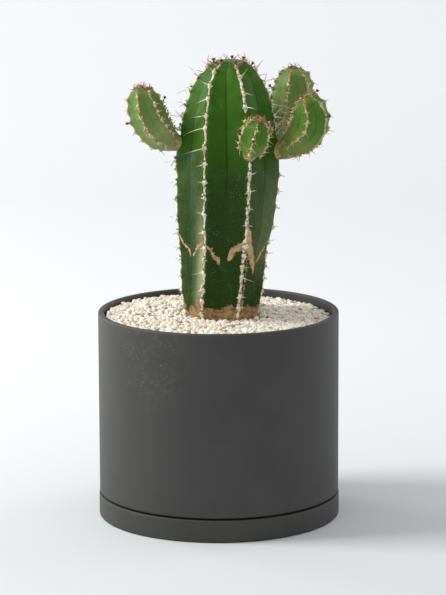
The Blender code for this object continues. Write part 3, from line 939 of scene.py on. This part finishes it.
# Above this height the spines of the front and side ribs are uneven: how long the left and
# right ones are, beside that length.
UNEVEN_ABOVE = 0.295
SPINE_BIAS = {0: (1.15, 0.45), 1: (0.42, 1.05), 2: (1.1, 1.45), 6: (1.45, 1.1)}
# Spine pairs that are longer than their neighbours: (rib, height in mm): (left, right).
LONG_SPINES = {
    (0, 314): (0.0200, 0.0065),
    (0, 330): (0.0195, 0.0075),
    (0, 340): (0.0150, 0.0050),
    (0, 353): (0.0125, 0.0045),
    (0, 210): (0.0125, 0.0065),
    (0, 196): (0.0080, 0.0050),
    (0, 175): (0.0050, 0.0060),
    (1, 206): (0.0050, 0.0120),
    (1, 358): (0.0040, 0.0100),
    (1, 347): (0.0040, 0.0105),
}
# Where a branch's neck interrupts the margin of its rib: low and high ends, in metres.
NECK_GAP = {1: (0.3035, 0.3420), 2: (0.3000, 0.3200), 3: (0.3010, 0.3210), 6: (0.3045, 0.3230)}
MARGIN_FOOT = 0.1700
MARGIN_END = 0.3800
CROWN_SPINES = (0.3772, 0.3796)
# Pale spines that curl between the column and its right-hand branches: rib and height.
CURLED_SPINES = [(2, 0.3215), (2, 0.3280), (2, 0.3365), (3, 0.3235), (3, 0.3310), (6, 0.3245)]


def add_margin(name, parts, replaced, look):
    points, faces, fields = joined(parts)
    piece = add_piece(name, points, faces, fields=fields)
    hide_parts(replaced)
    dress(piece, look)


def dried_bits(body, rib, run, draw):
    """A withered flower: a bent black stalk with a bead at its end."""
    point, along, outward, aside = one_place(body, rib, run)
    heading = unit(outward + along * draw.uniform(0.2, 0.9) + aside * draw.uniform(-0.5, 0.5))
    length = draw.uniform(2.6, 4.4) * MM
    seeds = draw.integers(1 << 30, size=2)
    end = point + heading * length
    return [
        spine(point, heading, aside * 0.2, length * 1.1, 0.65 * MM, dark=1.0),
        knob(end, heading, 1.15 * MM, 1.0, int(seeds[0])),
        knob(end + aside * 0.9 * MM + along * 0.6 * MM, heading, 0.75 * MM, 0.9, int(seeds[1])),
    ]


def make_stem_margins(stem):
    height = stem["height"]

    def run_of(level):
        return float(np.interp(level, height, stem["run"]))

    def young(runs):
        return smooth_step(0.366, 0.381, np.interp(runs, stem["run"], height)) * 0.8

    for rib in range(STEM_RIBS):
        spans = [("", MARGIN_FOOT, MARGIN_END)]
        if rib in NECK_GAP:
            low, high = NECK_GAP[rib]
            spans = [("_lower", MARGIN_FOOT, low), ("_upper", high, MARGIN_END)]
        for part, low, high in spans:
            start, end = run_of(low), run_of(high)
            stops = [stop for stop in stem["areoles"][rib] if start <= stop <= end]
            seed = 900 + 10 * rib + (part == "_upper")
            draw = np.random.default_rng(seed)
            parts = [horny_strip(stem, rib, start, end, stops, 1.00 * MM, 1.85 * MM, 1.1 * MM,
                                 young, seed)]
            for stop in stops:
                level = float(np.interp(stop, stem["run"], height))
                key = (rib, int(round(level / MM)))
                usual = read_table(SPINE_LENGTH, level) * draw.uniform(0.8, 1.15, 2)
                if level > UNEVEN_ABOVE:
                    usual = usual * SPINE_BIAS.get(rib, (1.0, 1.0))
                parts += spine_pair(stem, rib, stop, 0.48 * MM, draw, LONG_SPINES.get(key, usual),
                                    float(smooth_step(0.362, 0.379, level)))
            if high == MARGIN_END:
                for level in CROWN_SPINES:
                    lengths = 8 * MM * draw.uniform(0.7, 1.2, 2)
                    parts += spine_pair(stem, rib, run_of(level), 0.42 * MM, draw, lengths, 1.0)
            for place, level in CURLED_SPINES:
                if place == rib and low <= level <= high:
                    point, along, outward, aside = one_place(stem, rib, run_of(level))
                    parts.append(spine(point, unit(outward + along * 0.3), along * 0.3, 13 * MM,
                                       0.50 * MM, curl=0.22))
            if high == MARGIN_END:
                parts += dried_bits(stem, rib, run_of(0.3795 - 0.0015 * (rib % 3)), draw)
            add_margin(f"margin_stem_{rib + 1}{part}", parts, f"spines_stem_{rib + 1}{part}",
                       LOOKS["stem_horn"])


def make_branch_margins(bodies):
    for number, (name, body) in enumerate(bodies.items()):
        share = body["share"]

        def young(runs, body=body, share=share):
            return smooth_step(0.84, 0.98, np.interp(runs, body["run"], share)) * 0.9

        for rib in range(BRANCH_RIBS):
            start = float(np.interp(0.12, share, body["run"]))
            end = float(np.interp(0.975, share, body["run"]))
            seed = 1200 + 50 * number + rib
            draw = np.random.default_rng(seed)
            stops = body["areoles"][rib]
            parts = [horny_strip(body, rib, start, end, stops, 0.50 * MM, 1.15 * MM, 0.8 * MM,
                                 young, seed)]
            for stop in stops:
                level = float(np.interp(stop, body["run"], share))
                lengths = 4.8 * MM * draw.uniform(0.7, 1.3, 2)
                parts += spine_pair(body, rib, stop, 0.36 * MM, draw, lengths,
                                    float(smooth_step(0.80, 0.97, level)))
            for extra in (0.970, 0.990):
                run = float(np.interp(extra, share, body["run"]))
                lengths = 5.2 * MM * draw.uniform(0.7, 1.2, 2)
                parts += spine_pair(body, rib, run, 0.32 * MM, draw, lengths, 1.0)
            if rib % 3 == number % 3:
                parts += dried_bits(body, rib, stops[len(stops) * 2 // 3], draw)
            add_margin(f"margin_{name}_{rib + 1}", parts, f"spines_{name}_{rib + 1}",
                       LOOKS["branch_horn"])


# --- Grit ---------------------------------------------------------------------------------

GRAIN_SIZE = 4.6 * MM
GRIT_PIECES = 4


def grit_height(x, y):
    """Height of the bed: mounded round the stem, lower at the back wall, fuller at the left."""
    reach = np.hypot(x, y) / 0.095
    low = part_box("gravel")[1].z
    return low - 2.2 * MM * smooth_step(0.35, 1.0, reach) - 0.9 * MM - x * 0.018


def pebble_shapes(count, draw):
    """Unit grains: points of a subdivided icosahedron, squashed and dented."""
    template = bpy.data.meshes.new("grain template")
    build = bmesh.new()
    bmesh.ops.create_icosphere(build, subdivisions=2, radius=1.0)
    build.to_mesh(template)
    build.free()
    points = np.array([vertex.co for vertex in template.vertices])
    faces = np.array([list(polygon.vertices) for polygon in template.polygons])
    bpy.data.meshes.remove(template)
    shapes = []
    for _ in range(count):
        squash = np.array([1.0, draw.uniform(0.68, 0.92), draw.uniform(0.52, 0.8)])
        dents = 1 + 0.16 * ripple(points, 1.1, int(draw.integers(1 << 30)), 10)
        corner = np.abs(points) ** 0.82 * np.sign(points)
        shapes.append(corner * dents[:, None] * squash)
    return np.array(shapes), faces


def random_turns(count, draw):
    """Random rotation matrices."""
    quaternion = unit(draw.normal(size=(count, 4)))
    w, x, y, z = quaternion.T
    return np.stack([
        np.stack([1 - 2 * (y * y + z * z), 2 * (x * y - z * w), 2 * (x * z + y * w)], -1),
        np.stack([2 * (x * y + z * w), 1 - 2 * (x * x + z * z), 2 * (y * z - x * w)], -1),
        np.stack([2 * (x * z - y * w), 2 * (y * z + x * w), 1 - 2 * (x * x + y * y)], -1),
    ], 1)


def stem_reach(stem, x, y):
    """Radius of the column at the grit, in the direction of each point from its middle."""
    row = int(np.argmin(np.abs(stem["height"] - 0.169)))
    ring = stem["rings"][row] - stem["middle"][row]
    angle = np.arctan2(ring[:, 1], ring[:, 0])
    order = np.argsort(angle)
    own = np.arctan2(y, x - stem["middle"][row][0])
    return np.interp(own, angle[order], np.hypot(ring[:, 0], ring[:, 1])[order],
                     period=2 * math.pi), stem["middle"][row][0]


def grain_places(spacing, wall, stem, draw):
    """Jittered honeycomb of places between the stem and the pot's wall."""
    count = int(2 * wall / spacing) + 4
    column, row = np.meshgrid(np.arange(-count, count), np.arange(-count, count))
    x = (column + 0.5 * (row % 2)) * spacing
    y = row * spacing * math.sqrt(3) / 2
    x = x.ravel() + draw.uniform(-0.33, 0.33, x.size) * spacing
    y = y.ravel() + draw.uniform(-0.33, 0.33, y.size) * spacing
    reach, middle = stem_reach(stem, x, y)
    inside = np.hypot(x, y) < wall - 1.2 * MM
    outside = np.hypot(x - middle, y) > reach + 0.6 * MM
    keep = inside & outside
    return x[keep], y[keep]


def make_grit(stem):
    draw = np.random.default_rng(77)
    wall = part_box("gravel")[1].x
    shapes, faces = pebble_shapes(28, draw)
    bundles = []
    for spacing, depth, size in ((3.8 * MM, 2.6 * MM, 1.05), (3.6 * MM, 0.3 * MM, 1.0)):
        x, y = grain_places(spacing, wall, stem, draw)
        z = grit_height(x, y) - depth + draw.uniform(-0.7, 0.6, len(x)) * MM
        half = GRAIN_SIZE / 2 * size * draw.uniform(0.72, 1.22, len(x))
        bundles.append((x, y, z, half))
    x, y, z, half = (np.concatenate(column) for column in zip(*bundles))
    # Grains near the wall move in so that none of them reaches through it.
    far = np.hypot(x, y)
    limit = wall - half * 0.95
    pull = np.minimum(1.0, limit / np.maximum(far, 1e-6))
    x, y = x * pull, y * pull
    count = len(x)
    grains = shapes[draw.integers(len(shapes), size=count)]
    grains = np.einsum("nij,nkj->nki", random_turns(count, draw), grains)
    grains[..., 2] *= 0.85
    grains = grains * half[:, None, None] + np.stack([x, y, z], 1)[:, None]
    tone, warm = draw.uniform(0, 1, count), draw.uniform(0, 1, count)
    sector = ((np.degrees(np.arctan2(y, x)) % 360) // (360 / GRIT_PIECES)).astype(int)
    for piece_number in range(GRIT_PIECES):
        chosen = np.flatnonzero(sector == piece_number)
        add_grit_piece(f"gravel_grains_{piece_number + 1}", grains[chosen], faces,
                       tone[chosen], warm[chosen])
    make_grit_bed(stem, wall)


def add_grit_piece(name, grains, faces, tone, warm):
    count, corners = grains.shape[:2]
    index = (faces[None] + corners * np.arange(count)[:, None, None]).reshape(-1, 3)
    # Each grain has its own cell of the UV map, seen from its own top and underside.
    cells = math.ceil(math.sqrt(count))
    centre = grains.mean(1, keepdims=True)
    local = (grains - centre)
    local /= np.abs(local).max((1, 2), keepdims=True)
    face_points = local[:, faces]
    top = face_points[..., 2].mean(-1) >= 0
    u = face_points[..., 0] * 0.22 + np.where(top, 0.26, 0.74)[..., None]
    v = face_points[..., 1] * 0.42 + 0.5
    cell = np.arange(count)
    u = (u + (cell % cells)[:, None, None]) / cells
    v = (v + (cell // cells)[:, None, None]) / cells
    uv = np.stack([u, v], -1).reshape(-1, 2)
    fields = {"tone": np.repeat(tone, corners), "warm": np.repeat(warm, corners)}
    piece = add_piece(name, grains, index.tolist(), uv, fields=fields)
    dress(piece, LOOKS["grit"])


def make_grit_bed(stem, wall):
    """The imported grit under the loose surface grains."""
    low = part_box("gravel")[0].z
    row = int(np.argmin(np.abs(stem["height"] - 0.169)))
    ring = stem["rings"][row]
    flat = (ring - stem["middle"][row]) * np.array([1.0, 1.0, 0.0])
    inner = stem["middle"][row] * [1, 1, 0] + flat * 1.02
    outer = unit(flat) * (wall - 0.2 * MM)
    rings = [inner + [0, 0, low], outer + [0, 0, low]]
    for share in np.linspace(1.0, 0.0, 24):
        place = inner + (outer - inner) * share
        level = grit_height(place[:, 0], place[:, 1]) - 2.6 * MM
        bumps = ripple(place, 4 * MM, 88) * 0.5 * MM
        rings.append(place + np.stack([0 * level, 0 * level, level + bumps], 1))
    count = len(ring)
    # Painted shade: the bed takes the dark brown so the gaps between the grains read as shadow.
    fields = {"tone": np.full(26 * count, 0.2), "warm": np.full(26 * count, 1.0)}
    piece = skin("gravel_bed", np.array(rings), endless=True, fields=fields)
    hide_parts("gravel")
    dress(piece, LOOKS["grit"])


# --- Stage, light and camera --------------------------------------------------------------


def paper_look():
    """Backdrop paper with painted light: a little darker near the front of the floor and lighter up the
    backdrop, standing in for the fall of the studio light.
    """
    r = Recipe("studio paper", roughness=0.95, specular=0.1)
    depth = r.node("ShaderNodeSeparateXYZ")
    r.feed(depth.inputs["Vector"], r.place)
    # Painted light and shade: darker at the front of the floor, lighter towards and up the backdrop.
    back = r.between(depth.outputs["Y"], -0.5, 0.9)
    far = r.between(depth.outputs["Y"], 0.9, 2.2)
    colour = r.mix(back, (0.66, 0.685, 0.71, 1.0), (0.76, 0.775, 0.79, 1.0))
    r.colour(r.mix(far, colour, (0.83, 0.85, 0.87, 1.0)))
    return r.material


def make_stage():
    """Pale floor that curves up into a backdrop."""
    profile = [(-4.0, 0.0), (1.6, 0.0)]
    bend = 0.9
    for step in range(1, 13):
        turn = math.radians(90 * step / 12)
        profile.append((1.6 + bend * math.sin(turn), bend * (1 - math.cos(turn))))
    profile.append((1.6 + bend, 5.0))
    half = 5.0
    points = [(x, y, z) for y, z in profile for x in (-half, half)]
    faces = [[2 * i, 2 * i + 1, 2 * i + 3, 2 * i + 2] for i in range(len(profile) - 1)]
    mesh = bpy.data.meshes.new("studio_floor")
    mesh.from_pydata(points, [], faces)
    mesh.shade_smooth()
    floor = bpy.data.objects.new("studio_floor", mesh)
    bpy.context.scene.collection.objects.link(floor)
    mesh.materials.append(paper_look())


def add_softbox(name, place, target, width, height, power, colour):
    light = bpy.data.lights.new(name, "AREA")
    light.shape = "RECTANGLE"
    light.size = width
    light.size_y = height
    light.energy = power
    light.color = colour
    lamp = bpy.data.objects.new(name, light)
    lamp.location = place
    lamp.rotation_euler = (Vector(target) - Vector(place)).to_track_quat("-Z", "Y").to_euler()
    bpy.context.scene.collection.objects.link(lamp)


def make_light():
    world = bpy.data.worlds.new("studio")
    world.use_nodes = True
    background = world.node_tree.nodes["Background"]
    background.inputs["Color"].default_value = (0.985, 0.99, 1.0, 1.0)
    background.inputs["Strength"].default_value = 0.65
    bpy.context.scene.world = world
    middle = (0.0, 0.0, 0.20)
    add_softbox("window_left", (-1.95, -0.10, 1.75), middle, 0.9, 0.9, 53, (1.0, 0.985, 0.95))
    add_softbox("left_edge", (-1.6, 1.3, 0.6), middle, 0.6, 1.4, 12, (1.0, 0.995, 0.98))
    add_softbox("right_glow", (1.9, 1.0, 0.9), middle, 1.2, 1.6, 10, (1.0, 0.99, 0.97))


CAMERA_DISTANCE = 2.600
CAMERA_PITCH = 11.31
CAMERA_ROLL = -0.23
CAMERA_TARGET = (0.0039, 0.0, 0.1832)
LENS = 189.4


def make_camera():
    data = bpy.data.cameras.new("camera")
    data.lens = LENS
    data.clip_end = 50.0
    camera = bpy.data.objects.new("camera", data)
    pitch = math.radians(CAMERA_PITCH)
    back = Vector((0.0, -math.cos(pitch), math.sin(pitch)))
    camera.location = Vector(CAMERA_TARGET) + back * CAMERA_DISTANCE
    aim = Matrix.Rotation(math.radians(90 - CAMERA_PITCH), 4, "X")
    roll = Matrix.Rotation(math.radians(CAMERA_ROLL), 4, "Z")
    camera.rotation_euler = (aim @ roll).to_euler()
    bpy.context.scene.collection.objects.link(camera)
    bpy.context.scene.camera = camera
    bpy.context.scene.view_settings.view_transform = "Standard"


# --- Assembly -----------------------------------------------------------------------------

make_camera()
make_stage()
make_light()
make_saucer()
make_pot()
dress_soil()
the_stem = make_stem()
the_branches = make_branches(the_stem)
make_stem_margins(the_stem)
make_branch_margins(the_branches)
make_grit(the_stem)
